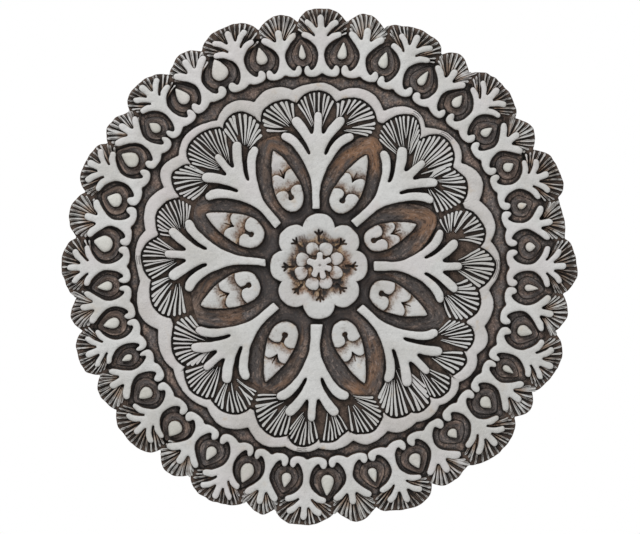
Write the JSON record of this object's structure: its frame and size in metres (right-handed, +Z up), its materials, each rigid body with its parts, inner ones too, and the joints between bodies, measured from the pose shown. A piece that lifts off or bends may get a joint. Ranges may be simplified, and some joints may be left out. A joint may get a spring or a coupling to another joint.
{
  "type": "wall plaque",
  "caption": "Round fired-clay wall plaque with a scalloped edge, carved in relief as a flower medallion in a border of palmettes, with a nail pocket in its flat back.",
  "frame": {"origin": "centre of the flat back, in the plane of the wall", "axes": "+Y points out of the back into the wall, so the carved front faces -Y, +Z is up and +X is to the right as seen from the front"},
  "size_m": [0.361, 0.014, 0.3608],
  "materials": {
    "fired_clay": "matt pale grey slip on the raised carving, dark brown wash in the recesses"
  },
  "bodies": {
    "root": {"plaque": "fired_clay"}
  },
  "joints": []
}
